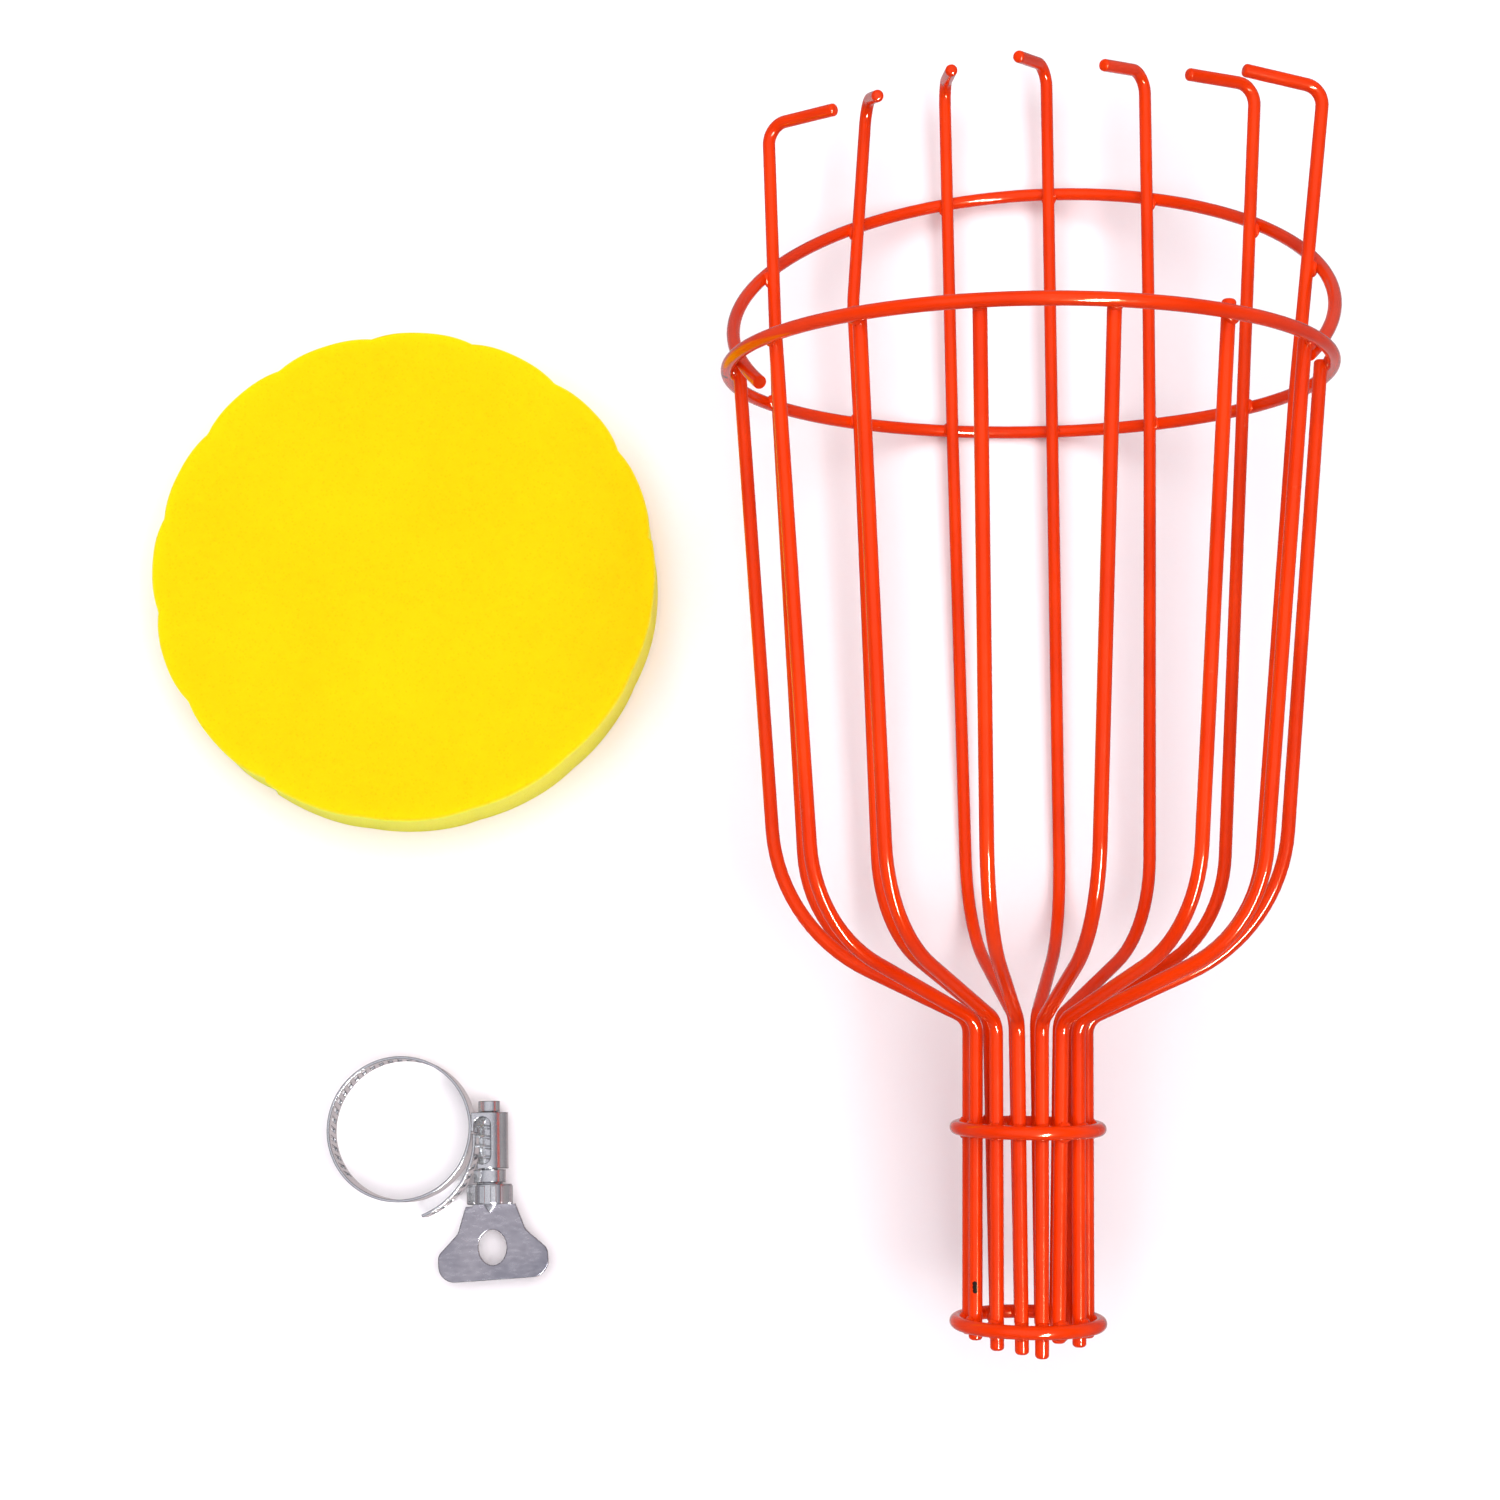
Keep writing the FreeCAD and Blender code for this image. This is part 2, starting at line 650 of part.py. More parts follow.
# ---------------------------------------------------------------- free end of the band
tail_spot = V(size("tail_centre_x"), size("tail_centre_y"), 0)
tail_turn = turn(Z_AXIS, size("tail_to") + size("tail_slot_start") - 90.0)
tail = body_named("clamp_tail", CLAMP * FreeCAD.Placement(tail_spot, tail_turn))
tail_sketch = sketch_on(tail, "tail_outline", "XY_Plane")
tail_inner = size("tail_radius") - size("band_thickness") / 2.0
tail_outer = size("tail_radius") + size("band_thickness") / 2.0
shift = 90.0 - size("tail_slot_start") - size("tail_to")
first_angle = size("tail_to") + shift
last_angle = size("tail_from") + shift
arc_edge(tail_sketch, 0, 0, tail_outer, first_angle, last_angle)
arc_edge(tail_sketch, 0, 0, tail_inner, first_angle, last_angle)
for angle in (first_angle, last_angle):
    inner_point = polar(0, 0, tail_inner, angle)
    outer_point = polar(0, 0, tail_outer, angle)
    tail_sketch.addGeometry(Part.LineSegment(inner_point, outer_point), False)
pad_of(tail, "tail_strip", tail_sketch, "Sizes.band_width")
tail_slot_sketch = sketch_on(tail, "tail_slot_outline", "XZ_Plane")
slot_outline(tail_slot_sketch, 0, size("band_width") / 2.0)
tail_step = math.degrees(size("slot_pitch") / size("tail_radius"))
slot_row(tail, "tail", tail_slot_sketch, "Sizes.tail_slot_count", tail_step,
         "Sizes.tail_radius + 2 * Sizes.cut_margin", False, False)
doc.recompute()

# ---------------------------------------------------------------- checks and output
for item in doc.Objects:
    if "Invalid" in item.State or "Error" in item.State:
        raise RuntimeError("%s: %s" % (item.Name, item.State))
union_box = FreeCAD.BoundBox()
for node in nodes:
    shape = node.Shape
    if shape.isNull() or not shape.isValid() or len(shape.Solids) != 1:
        raise RuntimeError("%s: bad shape, %d solids" % (node.Label, len(shape.Solids)))
    union_box.add(shape.optimalBoundingBox(False, False))
    print("%-16s volume %9.1f mm3" % (node.Label, shape.Volume))
    shape.exportStep("parts/%s.step" % node.Label)
print("kit box X %.2f..%.2f" % (union_box.XMin, union_box.XMax))
print("kit box Y %.2f..%.2f" % (union_box.YMin, union_box.YMax))
print("kit box Z %.2f..%.2f" % (union_box.ZMin, union_box.ZMax))
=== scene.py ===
import bpy
import bmesh
import json
import math
import random
import numpy as np
from mathutils import Matrix, Vector, noise


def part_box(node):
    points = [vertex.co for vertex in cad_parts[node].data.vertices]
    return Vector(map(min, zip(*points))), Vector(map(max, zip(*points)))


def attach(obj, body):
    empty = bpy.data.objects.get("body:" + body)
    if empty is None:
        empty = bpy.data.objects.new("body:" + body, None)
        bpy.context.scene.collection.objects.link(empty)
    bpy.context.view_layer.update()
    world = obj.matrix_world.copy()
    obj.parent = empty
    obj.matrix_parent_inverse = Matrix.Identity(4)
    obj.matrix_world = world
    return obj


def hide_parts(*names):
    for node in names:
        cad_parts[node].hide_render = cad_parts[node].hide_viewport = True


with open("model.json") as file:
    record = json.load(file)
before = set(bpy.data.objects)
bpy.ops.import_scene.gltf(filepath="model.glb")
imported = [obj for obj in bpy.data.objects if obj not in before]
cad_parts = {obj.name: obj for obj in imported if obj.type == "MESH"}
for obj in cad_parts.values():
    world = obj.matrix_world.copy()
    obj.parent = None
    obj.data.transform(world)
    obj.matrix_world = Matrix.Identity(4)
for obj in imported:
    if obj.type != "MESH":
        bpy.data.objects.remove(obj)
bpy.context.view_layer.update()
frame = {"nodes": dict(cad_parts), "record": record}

MM = 0.001
FINGERS = ["finger_wire_%d" % i for i in range(1, 8)]
SHORTS = ["short_wire_%d" % i for i in range(1, 9)]
RINGS = ["rim_ring", "neck_ring", "socket_ring"]
BASKET_NODES = FINGERS + SHORTS + RINGS + ["finger_hoop"]
ZINC_NODES = ["clamp_band", "clamp_housing", "clamp_screw", "clamp_tail"]


# ------------------------------------------------------------------ sizes of the looks
# Chips in the coat: kit position in mm, radius in mm, colour.
CHIPS = [
    ((59.9, -158.7, 57.5), 0.62, (0.006, 0.005, 0.004)),
    ((59.9, -157.9, 57.6), 0.68, (0.006, 0.005, 0.004)),
    ((59.9, -157.1, 57.7), 0.62, (0.006, 0.005, 0.004)),
    ((0.4, 61.7, 75.0), 1.0, (0.03, 0.02, 0.02)),
    ((37.0, 69.6, 4.0), 0.75, (0.16, 0.02, 0.01)),
    ((39.7, 53.0, 145.0), 0.5, (0.10, 0.01, 0.01)),
]

# Weld pools: half lengths in mm along the wire, across it and outward.
RIM_WELD = (2.2, 2.05, 1.15)
NECK_WELD = (2.3, 1.95, 1.1)
SOCKET_WELD = (2.3, 1.95, 1.1)
HOOP_WELD = (2.3, 2.0, 1.1)
WELD_OUT = 1.5 * MM               # from the middle of the wire to the middle of the pool

# Foam cushion: the angles of its hand-cut notches, and how deep they are.
FOAM_NOTCHES = [8, 30.5, 53, 75, 99, 122, 144.5, 167, 189.5, 212, 238, 262, 287, 312, 336]
LAST_DEEP_NOTCH = 213
DEEP_NOTCH = 1.15
SLIGHT_NOTCH = 0.35
FOAM_AROUND = 480                 # points round the cushion
FOAM_EDGE = 1.1 * MM              # radius of its rims

# Worm thread of the screw, in mm from the joint's own point along the screw.
WORM_ROOT = 2.6
WORM_CREST = 3.5
WORM_PITCH = 2.55
WORM_LOW = -8.55
WORM_HIGH = 2.85
WORM_END = 0.75                   # plain worm left free at either end

# Head of the screw.
HEAD_RIBS = 12
RIB_ENDS = (-18.9, -14.35)
RIB_SECTION = ((5.3, 11.5), (5.93, 7.0))     # radius and half width in degrees
SOFT_EDGE = 0.12 * MM

# Camera.
VIEW_PLACE = (0.00664, -0.1403, 0.6668)
VIEW_TILT = 10.38
VIEW_LENS = 60.48


# ------------------------------------------------------------------ node helpers
def new_material(name):
    mat = bpy.data.materials.new(name)
    mat.use_nodes = True
    tree = mat.node_tree
    shader = tree.nodes["Principled BSDF"]
    return mat, tree, shader


def add(tree, kind, **values):
    node = tree.nodes.new(kind)
    for key, value in values.items():
        if hasattr(node, key):
            setattr(node, key, value)
        else:
            node.inputs[key.replace("_", " ")].default_value = value
    return node


def ramp(tree, stops):
    node = tree.nodes.new("ShaderNodeValToRGB")
    band = node.color_ramp
    while len(band.elements) < len(stops):
        band.elements.new(0.5)
    for element, (place, colour) in zip(band.elements, stops):
        element.position = place
        element.color = (*colour, 1.0)
    return node


def grey(v):
    return (v, v, v)


# ------------------------------------------------------------------ materials
def spot(tree, place, centre, radius):
    link = tree.links.new
    ragged = add(tree, "ShaderNodeTexNoise", Scale=900.0, Detail=3.0)
    link(place.outputs["Object"], ragged.inputs["Vector"])
    away = add(tree, "ShaderNodeVectorMath", operation="DISTANCE")
    link(place.outputs["Object"], away.inputs[0])
    away.inputs[1].default_value = [v * MM for v in centre]
    push = add(tree, "ShaderNodeMath", operation="MULTIPLY_ADD")
    link(ragged.outputs["Fac"], push.inputs[0])
    push.inputs[1].default_value = 0.5 * radius * MM
    link(away.outputs["Value"], push.inputs[2])
    mask = add(tree, "ShaderNodeMapRange")
    link(push.outputs["Value"], mask.inputs["Value"])
    mask.inputs["From Min"].default_value = 1.15 * radius * MM
    mask.inputs["From Max"].default_value = 1.35 * radius * MM
    mask.inputs["To Min"].default_value = 1.0
    mask.inputs["To Max"].default_value = 0.0
    return mask.outputs["Result"]


def powder_coat(chips):
    """Glossy vermilion coat: orange peel, slow changes of depth, dull scuffs, dark chips."""
    mat, tree, shader = new_material("orange_powder_coat")
    link = tree.links.new
    place = add(tree, "ShaderNodeTexCoord")
    slow = add(tree, "ShaderNodeTexNoise", Scale=34.0, Detail=3.0, Roughness=0.5)
    link(place.outputs["Object"], slow.inputs["Vector"])
    tone = ramp(tree, [(0.30, (0.69, 0.027, 0.0003)), (0.72, (0.86, 0.043, 0.0005))])
    link(slow.outputs["Fac"], tone.inputs["Fac"])
    colour = tone.outputs["Color"]
    scuff = add(tree, "ShaderNodeTexNoise", Scale=150.0, Detail=5.0, Roughness=0.65)
    link(place.outputs["Object"], scuff.inputs["Vector"])
    dull = ramp(tree, [(0.35, grey(0.13)), (0.62, grey(0.19)), (0.80, grey(0.36))])
    link(scuff.outputs["Fac"], dull.inputs["Fac"])
    for centre, radius, paint in chips:
        mix = add(tree, "ShaderNodeMix", data_type="RGBA")
        mix.inputs[7].default_value = (*paint, 1.0)
        link(spot(tree, place, centre, radius), mix.inputs[0])
        link(colour, mix.inputs[6])
        colour = mix.outputs[2]
    link(colour, shader.inputs["Base Color"])
    link(dull.outputs["Color"], shader.inputs["Roughness"])
    peel = add(tree, "ShaderNodeTexNoise", Scale=620.0, Detail=2.0, Roughness=0.5)
    link(place.outputs["Object"], peel.inputs["Vector"])
    bump = add(tree, "ShaderNodeBump", Strength=0.08, Distance=0.0002)
    link(peel.outputs["Fac"], bump.inputs["Height"])
    link(bump.outputs["Normal"], shader.inputs["Normal"])
    shader.inputs["IOR"].default_value = 1.5
    shader.inputs["Specular IOR Level"].default_value = 0.35
    shader.inputs["Specular Tint"].default_value = (1.0, 0.45, 0.22, 1.0)
    shader.inputs["Coat Weight"].default_value = 0.65
    shader.inputs["Coat Roughness"].default_value = 0.03
    shader.inputs["Coat IOR"].default_value = 1.42
    return mat


def open_cell_foam():
    """Bright yellow upholstery foam: fine open pores, soft mottling, light carried inside, sides
    painted paler as painted light.
    """
    mat, tree, shader = new_material("yellow_foam")
    link = tree.links.new
    place = add(tree, "ShaderNodeTexCoord")
    mottle = add(tree, "ShaderNodeTexNoise", Scale=30.0, Detail=4.0, Roughness=0.55)
    link(place.outputs["Object"], mottle.inputs["Vector"])
    tone = ramp(tree, [(0.32, (0.93, 0.598, 0.0004)), (0.70, (0.95, 0.633, 0.0008))])
    shape = add(tree, "ShaderNodeNewGeometry")
    facing = add(tree, "ShaderNodeSeparateXYZ")
    link(shape.outputs["True Normal"], facing.inputs["Vector"])
    # Painted light: faces whose true normal turns away from up (the sides and underside) get a
    # paler yellow, standing in for the light they catch.
    painted_side_light = ramp(tree, [(0.35, grey(1.0)), (0.85, grey(0.0))])
    link(facing.outputs["Z"], painted_side_light.inputs["Fac"])
    side_light_mix = add(tree, "ShaderNodeMix", data_type="RGBA")
    side_light_mix.inputs[7].default_value = (1.0, 0.90, 0.055, 1.0)
    link(painted_side_light.outputs["Color"], side_light_mix.inputs[0])
    link(mottle.outputs["Fac"], tone.inputs["Fac"])
    pores = add(tree, "ShaderNodeTexVoronoi", Scale=950.0, feature="F1")
    link(place.outputs["Object"], pores.inputs["Vector"])
    pore_shade = ramp(tree, [(0.06, (0.90, 0.80, 0.3)), (0.30, (1.0, 1.0, 1.0))])
    link(pores.outputs["Distance"], pore_shade.inputs["Fac"])
    mix = add(tree, "ShaderNodeMix", data_type="RGBA", blend_type="MULTIPLY")
    mix.inputs[0].default_value = 0.55
    link(tone.outputs["Color"], side_light_mix.inputs[6])
    link(side_light_mix.outputs[2], mix.inputs[6])
    link(pore_shade.outputs["Color"], mix.inputs[7])
    link(mix.outputs[2], shader.inputs["Base Color"])
    fine = add(tree, "ShaderNodeTexNoise", Scale=1500.0, Detail=3.0, Roughness=0.7)
    link(place.outputs["Object"], fine.inputs["Vector"])
    joined = add(tree, "ShaderNodeMath", operation="ADD")
    link(fine.outputs["Fac"], joined.inputs[0])
    link(pores.outputs["Distance"], joined.inputs[1])
    bump = add(tree, "ShaderNodeBump", Strength=0.45, Distance=0.0004)
    link(joined.outputs["Value"], bump.inputs["Height"])
    link(bump.outputs["Normal"], shader.inputs["Normal"])
    rough = ramp(tree, [(0.3, grey(0.86)), (0.7, grey(0.98))])
    link(fine.outputs["Fac"], rough.inputs["Fac"])
    link(rough.outputs["Color"], shader.inputs["Roughness"])
    shader.inputs["Specular IOR Level"].default_value = 0.06
    shader.inputs["Subsurface Weight"].default_value = 0.75
    shader.inputs["Subsurface Radius"].default_value = (0.012, 0.010, 0.002)
    shader.inputs["Subsurface Scale"].default_value = 1.0
    shader.inputs["Sheen Weight"].default_value = 0.08
    return mat


def zinc_steel(name, low, high, brushed_along, cloud_scale, roughness, metal):
    """Zinc-plated strip: rolling lines along one axis, soft cloudy passivation, bevelled edges
    with painted shade darkening the colour along them.
    """
    mat, tree, shader = new_material(name)
    link = tree.links.new
    place = add(tree, "ShaderNodeTexCoord")
    stretch = add(tree, "ShaderNodeMapping")
    stretch.inputs["Scale"].default_value = brushed_along
    link(place.outputs["Object"], stretch.inputs["Vector"])
    lines = add(tree, "ShaderNodeTexNoise", Scale=900.0, Detail=4.0, Roughness=0.6)
    link(stretch.outputs["Vector"], lines.inputs["Vector"])
    cloud = add(tree, "ShaderNodeTexNoise", Scale=cloud_scale, Detail=3.0, Roughness=0.55)
    link(place.outputs["Object"], cloud.inputs["Vector"])
    tone = ramp(tree, [(0.30, low), (0.72, high)])
    link(cloud.outputs["Fac"], tone.inputs["Fac"])
    edge = add(tree, "ShaderNodeBevel", samples=6)
    edge.inputs["Radius"].default_value = 0.00045
    shape = add(tree, "ShaderNodeNewGeometry")
    turn = add(tree, "ShaderNodeVectorMath", operation="DOT_PRODUCT")
    link(edge.outputs["Normal"], turn.inputs[0])
    link(shape.outputs["Normal"], turn.inputs[1])
    # Painted shade: the base colour is darkened almost to black along the edges, where the bevel
    # normal turns away from the true normal.
    painted_edge_shade = ramp(tree, [(0.86, grey(0.95)), (0.985, grey(0.0))])
    link(turn.outputs["Value"], painted_edge_shade.inputs["Fac"])
    dark = add(tree, "ShaderNodeMix", data_type="RGBA")
    dark.inputs[7].default_value = (0.025, 0.025, 0.032, 1.0)
    link(painted_edge_shade.outputs["Color"], dark.inputs[0])
    link(tone.outputs["Color"], dark.inputs[6])
    link(dark.outputs[2], shader.inputs["Base Color"])
    rough = ramp(tree, [(0.25, grey(roughness * 0.75)), (0.75, grey(roughness * 1.3))])
    link(lines.outputs["Fac"], rough.inputs["Fac"])
    link(rough.outputs["Color"], shader.inputs["Roughness"])
    bump = add(tree, "ShaderNodeBump", Strength=0.10, Distance=0.0001)
    link(lines.outputs["Fac"], bump.inputs["Height"])
    link(edge.outputs["Normal"], bump.inputs["Normal"])
    link(bump.outputs["Normal"], shader.inputs["Normal"])
    shader.inputs["Metallic"].default_value = metal
    return mat


def floor_paper():
    mat, tree, shader = new_material("pale_floor")
    link = tree.links.new
    place = add(tree, "ShaderNodeTexCoord")
    cloud = add(tree, "ShaderNodeTexNoise", Scale=4.0, Detail=2.0)
    link(place.outputs["Object"], cloud.inputs["Vector"])
    tone = ramp(tree, [(0.3, (0.91, 0.865, 0.885)), (0.7, (0.94, 0.895, 0.915))])
    link(cloud.outputs["Fac"], tone.inputs["Fac"])
    link(tone.outputs["Color"], shader.inputs["Base Color"])
    shader.inputs["Roughness"].default_value = 0.9
    shader.inputs["Specular IOR Level"].default_value = 0.2
    return mat


def set_material(obj, mat):
    obj.data.materials.clear()
    obj.data.materials.append(mat)


# ------------------------------------------------------------------ mesh helpers
def mesh_object(name, vertices, faces, mat, smooth=True):
    mesh = bpy.data.meshes.new(name)
    mesh.from_pydata([tuple(v) for v in vertices], [], faces)
    mesh.update()
    obj = bpy.data.objects.new(name, mesh)
    bpy.context.collection.objects.link(obj)
    mesh.materials.append(mat)
    if smooth:
        mesh.polygons.foreach_set("use_smooth", [True] * len(mesh.polygons))
    return obj


def tube_faces(rings):
    """Vertices and side faces of equal rings laid one after the other; the ends stay open."""
    count = len(rings[0])
    vertices = [v for ring in rings for v in ring]
    faces = []
    for r in range(len(rings) - 1):
        for i in range(count):
            j = (i + 1) % count
            here = r * count
            there = here + count
            faces.append((here + i, here + j, there + j, there + i))
    return vertices, faces


def tidy_normals(obj):
    """Turn every face outward."""
    bm = bmesh.new()
    bm.from_mesh(obj.data)
    bmesh.ops.recalc_face_normals(bm, faces=bm.faces)
    bm.to_mesh(obj.data)
    bm.free()


def cap(vertices, faces, first, count, centre, flip):
    """Close the ring that starts at vertex first with a fan to its centre."""
    vertices.append(centre)
    hub = len(vertices) - 1
    for i in range(count):
        j = (i + 1) % count
        face = (first + i, first + j, hub)
        faces.append(tuple(reversed(face)) if flip else face)


def node_points(name):
    mesh = frame["nodes"][name].data
    points = np.empty(len(mesh.vertices) * 3)
    mesh.vertices.foreach_get("co", points)
    return points.reshape(-1, 3)


def node_edges(name):
    mesh = frame["nodes"][name].data
    edges = np.empty(len(mesh.edges) * 2, dtype=np.int64)
    mesh.edges.foreach_get("vertices", edges)
    return edges.reshape(-1, 2)


def section_centre(name, point, normal):
    """Middle of a wire where a plane cuts it."""
    points = node_points(name)
    edges = node_edges(name)
    height = (points - point) @ normal
    a = height[edges[:, 0]]
    b = height[edges[:, 1]]
    hit = (a * b) < 0
    if not hit.any():
        return None
    share = (a[hit] / (a[hit] - b[hit]))[:, None]
    cut = points[edges[hit, 0]] * (1 - share) + points[edges[hit, 1]] * share
    return (cut.min(axis=0) + cut.max(axis=0)) / 2.0


# ------------------------------------------------------------------ basket frame
SOCKET_CENTRE = node_points("socket_ring").mean(axis=0)
RIM_CENTRE = node_points("rim_ring").mean(axis=0)
AXIS = RIM_CENTRE - SOCKET_CENTRE
AXIS = AXIS / np.linalg.norm(AXIS)


def radial(point):
    """Direction straight out from the basket's axis."""
    arm = point - SOCKET_CENTRE
    arm = arm - AXIS * (arm @ AXIS)
    return arm / np.linalg.norm(arm)


# ------------------------------------------------------------------ welds
def bead(vertices, faces, centre, along, across, out, sizes, seed):
    """Smooth pool of metal and paint in the corner where two wires cross."""
    around, levels = 20, 12
    start = len(vertices)
    for level in range(1, levels):
        polar = math.pi * level / levels
        for i in range(around):
            turn = 2 * math.pi * i / around
            direction = np.array([
                math.sin(polar) * math.cos(turn),
                math.sin(polar) * math.sin(turn),
                math.cos(polar),
            ])
            wobble = noise.noise(Vector(direction * 1.4) + Vector((seed, seed * 0.7, 0)))
            scale = 1.0 + 0.12 * wobble
            p = centre + (along * direction[0] * sizes[0] + across * direction[1] * sizes[1]
                          + out * direction[2] * sizes[2]) * scale
            vertices.append(p)
    for level in range(levels - 2):
        for i in range(around):
            j = (i + 1) % around
            a = start + level * around
            faces.append((a + i, a + around + i, a + around + j, a + j))
    cap(vertices, faces, start, around, centre + out * sizes[2], True)
    cap(vertices, faces, start + (levels - 2) * around, around, centre - out * sizes[2], False)


def ring_welds(name, ring, wires, sizes, mat):
    """One pool of weld and coat wherever a ring crosses a wire."""
    step = AXIS * 2 * MM
    ring_centre = node_points(ring).mean(axis=0)
    vertices, faces = [], []
    for index, wire in enumerate(wires):
        middle = section_centre(wire, ring_centre, AXIS)
        if middle is None:
            continue
        ahead = section_centre(wire, ring_centre + step, AXIS)
        behind = section_centre(wire, ring_centre - step, AXIS)
        ahead = middle if ahead is None else ahead
        behind = middle if behind is None else behind
        along = ahead - behind
        along = along / np.linalg.norm(along)
        out = radial(middle)
        across = np.cross(along, out)
        centre = middle + out * WELD_OUT
        jitter = 0.9 + 0.25 * random.random()
        bead(vertices, faces, centre, along, across, out,
             [s * jitter * MM for s in sizes], index * 3.1)
    obj = mesh_object(name, vertices, faces, mat)
    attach(obj, "basket")
    return obj


def hoop_welds(mat):
    """The same pools where the hoop crosses the fingers, found in the hoop's own plane."""
    points = node_points("finger_hoop")
    middle = points.mean(axis=0)
    _, _, axes = np.linalg.svd(points - middle, full_matrices=False)
    normal = axes[2]
    vertices, faces = [], []
    for index, wire in enumerate(FINGERS):
        centre = section_centre(wire, middle, normal)
        if centre is None:
            continue
        out = radial(centre)
        across = np.cross(AXIS, out)
        bead(vertices, faces, centre + out * WELD_OUT, AXIS, across, out,
             [s * MM for s in HOOP_WELD], index * 2.3)
    obj = mesh_object("hoop_welds", vertices, faces, mat)
    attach(obj, "basket")
    return obj


# ------------------------------------------------------------------ foam cushion
def foam_radius(turn, outer, height):
    """Hand-cut outline: shallow facets between notches, soft waviness down the side."""
    degrees = math.degrees(turn) % 360.0
    for index, low in enumerate(FOAM_NOTCHES):
        high = FOAM_NOTCHES[(index + 1) % len(FOAM_NOTCHES)]
        span = (high - low) % 360.0
        into = (degrees - low) % 360.0
        if into < span:
            break
    share = into / span
    deep = DEEP_NOTCH if low < LAST_DEEP_NOTCH else SLIGHT_NOTCH
    bulge = 1.0 - abs(2 * share - 1) ** 2.6
    wave = 0.35 * noise.noise(Vector((math.cos(turn) * 3, math.sin(turn) * 3, height * 60)))
    return outer - (deep * (1.0 - bulge) + 0.25 - wave) * MM


def foam_cushion(mat):
    """Cushion of the CAD pad's own size: rounded rims, sides drawn in a little, soft top."""
    low, high = (np.array(v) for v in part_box("foam_pad"))
    centre = (low + high) / 2
    outer = (high[0] - low[0]) / 2
    thick = high[2] - low[2]
    around = FOAM_AROUND
    edge = FOAM_EDGE
    steps = []
    for share in np.linspace(0.03, 0.96, 30):
        steps.append((share, 0.0, 0))
    for k in range(7):
        a = math.radians(90 * k / 6)
        steps.append((None, edge * (1 - math.cos(a)), edge * math.sin(a)))
    rows = [("low", share, rise, reach) for share, rise, reach in steps]
    for k in range(1, 12):
        rows.append(("side", None, edge + (thick - 2 * edge) * k / 12, edge))
    for share, rise, reach in reversed(steps):
        rows.append(("high", share, thick - rise, reach))
    rings = []
    for part, share, level, reach in rows:
        ring = []
        for i in range(around):
            turn = 2 * math.pi * i / around
            full = foam_radius(turn, outer, level)
            pull = 0.0
            if part == "side":
                pull = 0.55 * MM * math.sin(math.pi * level / thick)
            radius = full - edge + reach - pull
            z = level
            if share is not None:
                radius = (full - edge) * share
                if part == "high":
                    x = radius * math.cos(turn)
                    y = radius * math.sin(turn)
                    soft = noise.noise(Vector((x * 28, y * 28, 1.7)))
                    z = level - 0.35 * MM + 0.30 * MM * soft * (1 - share ** 6)
                    z += 0.3 * MM * (1 - share ** 2)
            ring.append((centre[0] + radius * math.cos(turn),
                         centre[1] + radius * math.sin(turn), low[2] + z))
        rings.append(ring)
    vertices, faces = tube_faces(rings)
    cap(vertices, faces, 0, around, (centre[0], centre[1], low[2]), True)
    cap(vertices, faces, (len(rings) - 1) * around, around,
        (centre[0], centre[1], low[2] + thick), False)
    obj = mesh_object("foam_cushion", vertices, faces, mat)
    tidy_normals(obj)
    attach(obj, "foam")
    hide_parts("foam_pad")
    return obj


# ------------------------------------------------------------------ clamp details
JOINTS = frame["record"]["behaviour"]["joints"]
SCREW_JOINT = next(joint for joint in JOINTS if joint["name"] == "screw_turn")
SCREW_AT = np.array(SCREW_JOINT["pos_m"])
SCREW_ALONG = np.array(SCREW_JOINT["axis"]) / np.linalg.norm(SCREW_JOINT["axis"])
SCREW_UP = np.array([0.0, 0.0, 1.0])
SCREW_SIDE = np.cross(SCREW_ALONG, SCREW_UP)


def on_screw(side, along, up):
    """Kit position, in metres, of a point given in mm from the screw's joint."""
    return SCREW_AT + SCREW_SIDE * side * MM + SCREW_ALONG * along * MM + SCREW_UP * up * MM


def worm_thread(mat):
    """Right-hand thread: one ridge of trapezoid section wound round the worm."""
    root, crest = WORM_ROOT, WORM_CREST
    travel = WORM_HIGH - WORM_LOW - 2 * WORM_END
    profile = [(root, -0.72), (root + 0.15, -0.60), (crest - 0.12, -0.34), (crest, -0.22),
               (crest, 0.22), (crest - 0.12, 0.34), (root + 0.15, 0.60), (root, 0.72)]
    turns = travel / WORM_PITCH
    count = int(turns * 48)
    rings = []
    for k in range(count + 1):
        share = k / count
        angle = 2 * math.pi * turns * share
        middle = WORM_LOW + WORM_END + travel * share
        fade = min(1.0, share * turns * 5, (1 - share) * turns * 5)
        ring = []
        for radius, offset in profile:
            r = root + (radius - root) * (0.15 + 0.85 * fade)
            side, up = r * math.cos(angle), r * math.sin(angle)
            ring.append(on_screw(side, middle + offset, up))
        rings.append(ring)
    vertices, faces = tube_faces(rings)
    size = len(profile)
    faces.append(tuple(reversed(range(size))))
    faces.append(tuple(range(count * size, (count + 1) * size)))
    obj = mesh_object("worm_thread", vertices, faces, mat, smooth=False)
    tidy_normals(obj)
    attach(obj, "screw")


def prism(bm, outline, bevel):
    """Closed block through two equal outlines, edges softened."""
    bottom = [bm.verts.new(p) for p in outline[0]]
    top = [bm.verts.new(p) for p in outline[1]]
    faces = [bm.faces.new(bottom), bm.faces.new(top)]
    count = len(bottom)
    for i in range(count):
        j = (i + 1) % count
        faces.append(bm.faces.new((bottom[i], bottom[j], top[j], top[i])))
    edges = list({e for f in faces for e in f.edges})
    bmesh.ops.bevel(bm, geom=edges, offset=bevel, segments=2, affect="EDGES", profile=0.6)


def screw_object(name, bm, mat):
    """Object that turns with the screw, from a finished bmesh."""
    mesh = bpy.data.meshes.new(name)
    bm.to_mesh(mesh)
    bm.free()
    obj = bpy.data.objects.new(name, mesh)
    bpy.context.collection.objects.link(obj)
    mesh.materials.append(mat)
    tidy_normals(obj)
    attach(obj, "screw")


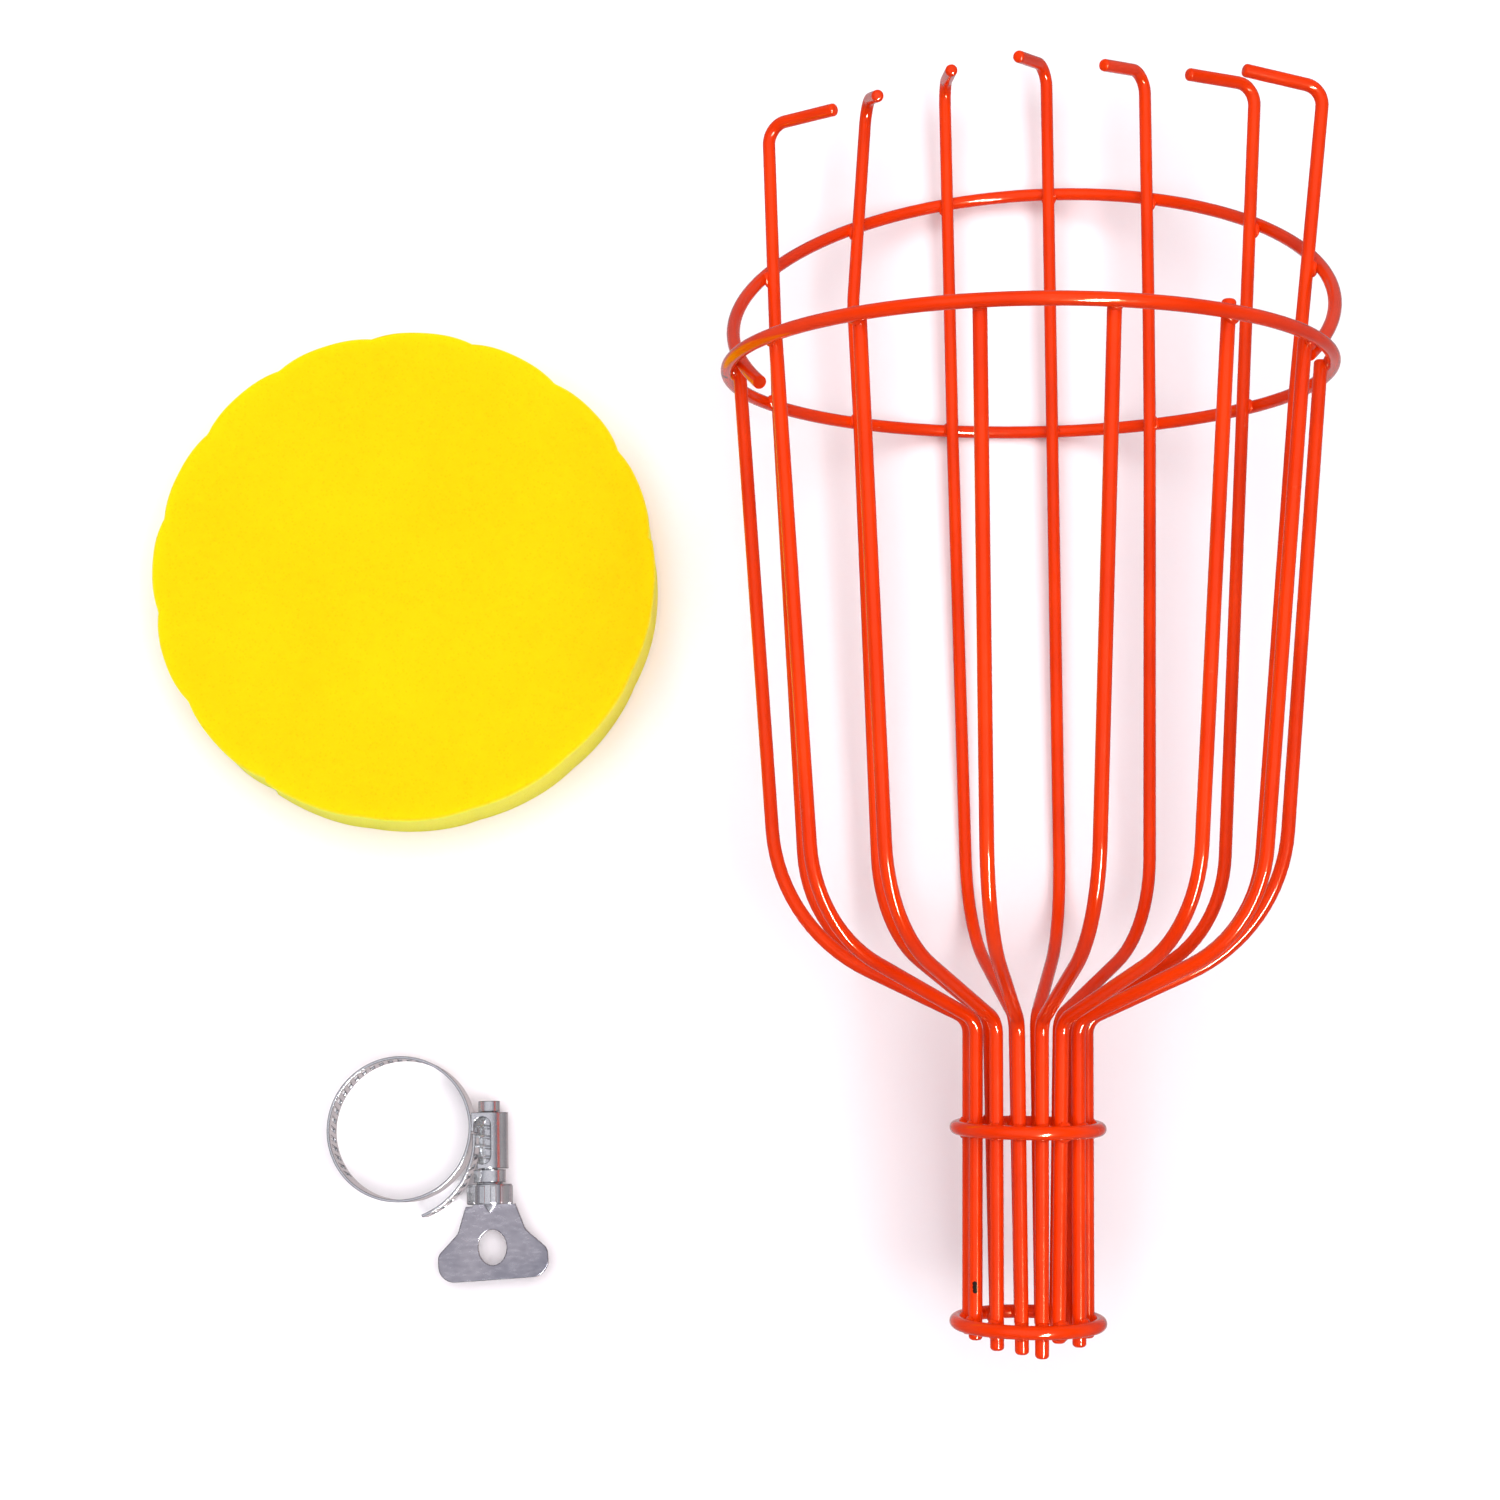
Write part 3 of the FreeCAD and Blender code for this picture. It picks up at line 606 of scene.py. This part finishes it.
def head_knurls(mat):
    """Pressed ribs round the head, clear of the slot that holds the key."""
    bm = bmesh.new()
    (foot, foot_half), (top, top_half) = RIB_SECTION
    corners = ((foot, -foot_half), (foot, foot_half), (top, top_half), (top, -top_half))
    for index in range(HEAD_RIBS):
        middle = 15 + 30 * index
        outlines = []
        for along in RIB_ENDS:
            ring = []
            for reach, turn in corners:
                a = math.radians(middle) + math.radians(turn)
                ring.append(on_screw(reach * math.cos(a), along, reach * math.sin(a)))
            outlines.append(ring)
        prism(bm, outlines, SOFT_EDGE)
    screw_object("head_ribs", bm, mat)


def crimp_lug(mat):
    """Small pointed lug of the head, pressed down on the key to hold it."""
    bm = bmesh.new()
    outline = ((-1.75, -18.9, 0.0), (1.75, -18.9, 0.0), (1.15, -19.9, 0.5),
               (0.25, -21.1, 0.9), (-0.25, -21.1, 0.9), (-1.15, -19.9, 0.5))
    outlines = []
    for level, narrow, slope in ((0.70, 1.0, 0), (2.1, 0.72, 1)):
        outlines.append([
            on_screw(side * narrow, along, level - drop * slope) for side, along, drop in outline
        ])
    prism(bm, outlines, SOFT_EDGE)
    screw_object("crimp_lug", bm, mat)


# ------------------------------------------------------------------ stage, lights, camera
def stage_floor():
    size = 6.0
    corners = [(-size, -size, 0), (size, -size, 0), (size, size, 0), (-size, size, 0)]
    floor = mesh_object("floor", corners, [(0, 1, 2, 3)], floor_paper(), smooth=False)
    floor.visible_glossy = False


def area_light(name, place, target, size, power, gloss=True, diffuse=True):
    """Rectangular light whose length runs as near to kit Y as its aim allows."""
    data = bpy.data.lights.new(name, "AREA")
    data.shape = "RECTANGLE"
    data.size, data.size_y = size
    data.energy = power
    obj = bpy.data.objects.new(name, data)
    bpy.context.collection.objects.link(obj)
    back = (Vector(place) - Vector(target)).normalized()
    side = Vector((0.0, 1.0, 0.0)).cross(back).normalized()
    along = back.cross(side)
    turn = Matrix((side, along, back)).transposed().to_4x4()
    obj.matrix_world = Matrix.Translation(place) @ turn
    obj.visible_glossy = gloss
    obj.visible_diffuse = diffuse


def studio_world():
    """Soft room by height: pale below, dark low round the walls, lavender grey overhead."""
    world = bpy.data.worlds.new("studio")
    bpy.context.scene.world = world
    world.use_nodes = True
    tree = world.node_tree
    link = tree.links.new
    sky = tree.nodes["Background"]
    place = add(tree, "ShaderNodeTexCoord")
    split = add(tree, "ShaderNodeSeparateXYZ")
    link(place.outputs["Generated"], split.inputs["Vector"])
    height = add(tree, "ShaderNodeMapRange")
    height.inputs["From Min"].default_value = -1.0
    height.inputs["From Max"].default_value = 1.0
    link(split.outputs["Z"], height.inputs["Value"])
    shade = ramp(tree, [
        (0.0, (0.54, 0.47, 0.48)), (0.06, (0.42, 0.35, 0.36)), (0.20, (0.18, 0.16, 0.17)),
        (0.5, (0.29, 0.275, 0.285)), (0.725, (0.08, 0.06, 0.07)), (0.81, (0.16, 0.15, 0.19)),
        (0.90, (0.38, 0.38, 0.42)), (1.0, (0.50, 0.49, 0.54)),
    ])
    link(height.outputs["Result"], shade.inputs["Fac"])
    link(shade.outputs["Color"], sky.inputs["Color"])
    sky.inputs["Strength"].default_value = 1.0


def lighting():
    studio_world()
    area_light("overhead", (-0.1, 0.1, 1.6), (0.0, 0.0, 0.0), (2.4, 2.4), 41.0, gloss=False)
    area_light("key", (0.50, -0.41, 1.18), (0.02, 0.0, 0.03), (0.5, 0.5), 3.0, gloss=False)
    area_light("window", (0.516, -0.856, 1.097), (0.05, -0.05, 0.08), (0.20, 0.82), 66.0,
               diffuse=False)


def camera():
    data = bpy.data.cameras.new("view")
    data.sensor_width = 36.0
    data.lens = VIEW_LENS
    obj = bpy.data.objects.new("view", data)
    bpy.context.collection.objects.link(obj)
    obj.location = VIEW_PLACE
    obj.rotation_euler = (math.radians(VIEW_TILT), 0.0, 0.0)
    data.clip_start = 0.01
    bpy.context.scene.camera = obj


# ------------------------------------------------------------------ put together
def main():
    random.seed(7)
    bpy.context.scene.view_settings.view_transform = "Standard"
    orange = powder_coat(CHIPS)
    foam = open_cell_foam()
    zinc = zinc_steel("zinc_band", low=(0.80, 0.81, 0.83), high=(0.93, 0.94, 0.95),
                      brushed_along=(1, 1, 0.06), cloud_scale=130.0, roughness=0.14, metal=0.90)
    key = zinc_steel("key_plate", low=(0.33, 0.33, 0.39), high=(0.60, 0.575, 0.62),
                     brushed_along=(0.4, 1, 1), cloud_scale=55.0, roughness=0.24, metal=1.0)
    for name in BASKET_NODES:
        set_material(frame["nodes"][name], orange)
    for name in ZINC_NODES:
        set_material(frame["nodes"][name], zinc)
    set_material(frame["nodes"]["clamp_key"], key)
    wires = FINGERS + SHORTS
    ring_welds("rim_welds", "rim_ring", wires, RIM_WELD, orange)
    ring_welds("neck_welds", "neck_ring", wires, NECK_WELD, orange)
    ring_welds("socket_welds", "socket_ring", wires, SOCKET_WELD, orange)
    hoop_welds(orange)
    foam_cushion(foam)
    worm_thread(zinc)
    head_knurls(zinc)
    crimp_lug(zinc)
    stage_floor()
    lighting()
    camera()


main()
